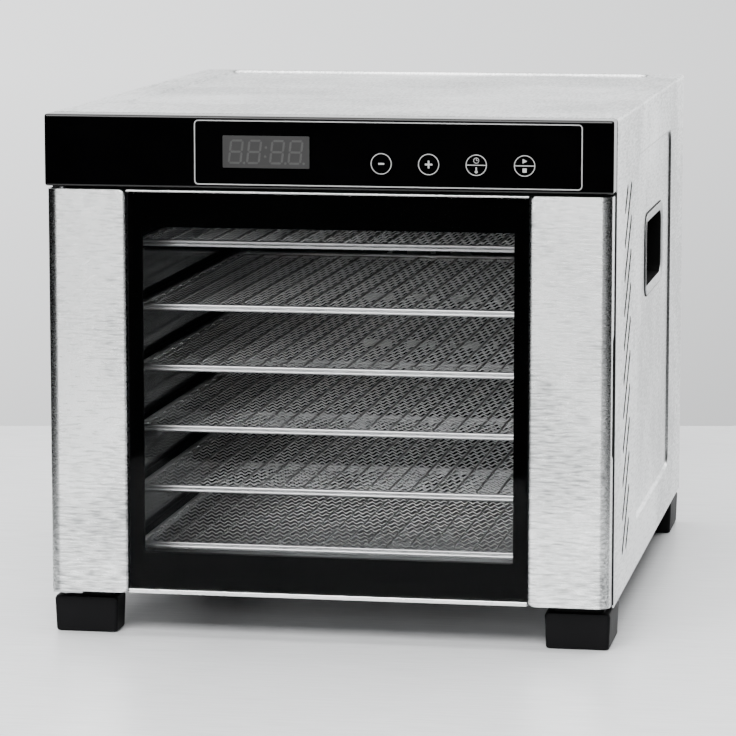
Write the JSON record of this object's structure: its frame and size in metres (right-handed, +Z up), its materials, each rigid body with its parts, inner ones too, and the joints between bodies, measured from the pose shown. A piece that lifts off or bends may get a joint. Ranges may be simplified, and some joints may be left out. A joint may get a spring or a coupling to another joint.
{
  "type": "food dehydrator",
  "caption": "Countertop food dehydrator: brushed steel case, glass door between steel pillars, wire trays on runners, rear fan and heater, carry handles and feet.",
  "frame": {"origin": "centre of the bounding box's footprint, on the plane that the feet rest on", "axes": "+X to the right seen from the front, +Y from the door to the back, +Z up"},
  "size_m": [0.34, 0.45, 0.315],
  "materials": {
    "brushed_steel": "horizontally brushed stainless steel",
    "zinc_steel": "plain zinc-plated steel",
    "gloss_black": "gloss black",
    "black_plastic": "satin black",
    "foot_rubber": "satin black",
    "silicone": "matt black silicone",
    "door_glass": "clear tempered glass with a dark tint",
    "dark_enamel": "dark satin coated steel",
    "steel_wire": "bright stainless wire",
    "board": "circuit board",
    "heater_steel": "heat-darkened steel sheath",
    "ceramic": "matt steatite",
    "aluminium": "plain aluminium sheet"
  },
  "bodies": {
    "case": {"outer_wrap": "brushed_steel", "base_plate": "zinc_steel", "rear_panel": "zinc_steel", "cord_gland": "black_plastic", "front_frame": "black_plastic", "control_fascia": "gloss_black", "touch_overlay": "gloss_black", "display_module": "black_plastic", "control_board": "board", "door_magnet": "zinc_steel", "hinge_pin_top": "zinc_steel", "hinge_pin_bottom": "zinc_steel", "hinge_bracket": "zinc_steel", "rack_wall_right": "dark_enamel", "rack_wall_left": "dark_enamel", "chamber_ceiling": "dark_enamel", "chamber_floor": "dark_enamel", "rear_baffle": "dark_enamel", "motor_plate": "zinc_steel", "heater_coil": "heater_steel", "heater_mount_left": "ceramic", "heater_mount_right": "ceramic", "fan_motor": "zinc_steel", "temperature_sensor": "zinc_steel", "thermal_fuse": "ceramic", "power_board": "board", "handle_cup_right": "black_plastic", "handle_cup_left": "black_plastic", "handle_bezel_right": "brushed_steel", "handle_bezel_left": "brushed_steel", "rear_screw_1": "zinc_steel", "rear_screw_2": "zinc_steel", "rear_screw_3": "zinc_steel", "rear_screw_4": "zinc_steel", "foot_front_left": "foot_rubber", "foot_screw_front_left": "zinc_steel", "foot_front_right": "foot_rubber", "foot_screw_front_right": "zinc_steel", "foot_rear_left": "foot_rubber", "foot_screw_rear_left": "zinc_steel", "foot_rear_right": "foot_rubber", "foot_screw_rear_right": "zinc_steel"},
    "door": {"door_pillar_left": "brushed_steel", "door_pillar_right": "brushed_steel", "door_frame": "black_plastic", "door_glass": "door_glass", "door_bottom_trim": "brushed_steel", "door_top_trim": "brushed_steel", "door_seal": "silicone", "catch_plate": "zinc_steel"},
    "fan": {"fan_impeller": "aluminium", "motor_shaft": "zinc_steel"},
    "tray_1": {"tray_1": "steel_wire"},
    "tray_2": {"tray_2": "steel_wire"},
    "tray_3": {"tray_3": "steel_wire"},
    "tray_4": {"tray_4": "steel_wire"},
    "tray_5": {"tray_5": "steel_wire"},
    "tray_6": {"tray_6": "steel_wire"}
  },
  "joints": [
    {"name": "door_swing", "type": "hinge", "parent": "case", "child": "door", "pos_m": [-0.1614, -0.217, 0.15], "axis": [0, 0, -1], "range_deg": [0, 120]},
    {"name": "fan_spin", "type": "hinge", "parent": "case", "child": "fan", "pos_m": [0, 0.16, 0.15], "axis": [0, 1, 0], "continuous": true},
    {"name": "tray_1_slide", "type": "slide", "parent": "case", "child": "tray_1", "axis": [0, -1, 0], "range_m": [0, 0.28]},
    {"name": "tray_2_slide", "type": "slide", "parent": "case", "child": "tray_2", "axis": [0, -1, 0], "range_m": [0, 0.28]},
    {"name": "tray_3_slide", "type": "slide", "parent": "case", "child": "tray_3", "axis": [0, -1, 0], "range_m": [0, 0.28]},
    {"name": "tray_4_slide", "type": "slide", "parent": "case", "child": "tray_4", "axis": [0, -1, 0], "range_m": [0, 0.28]},
    {"name": "tray_5_slide", "type": "slide", "parent": "case", "child": "tray_5", "axis": [0, -1, 0], "range_m": [0, 0.28]},
    {"name": "tray_6_slide", "type": "slide", "parent": "case", "child": "tray_6", "axis": [0, -1, 0], "range_m": [0, 0.28]}
  ],
  "couplings": [
    {"joint": "tray_1_slide", "follows": "door_swing", "m_per_rad": 0.065},
    {"joint": "tray_2_slide", "follows": "door_swing", "m_per_rad": 0.065},
    {"joint": "tray_3_slide", "follows": "door_swing", "m_per_rad": 0.065},
    {"joint": "tray_4_slide", "follows": "door_swing", "m_per_rad": 0.065},
    {"joint": "tray_5_slide", "follows": "door_swing", "m_per_rad": 0.065},
    {"joint": "tray_6_slide", "follows": "door_swing", "m_per_rad": 0.065}
  ]
}
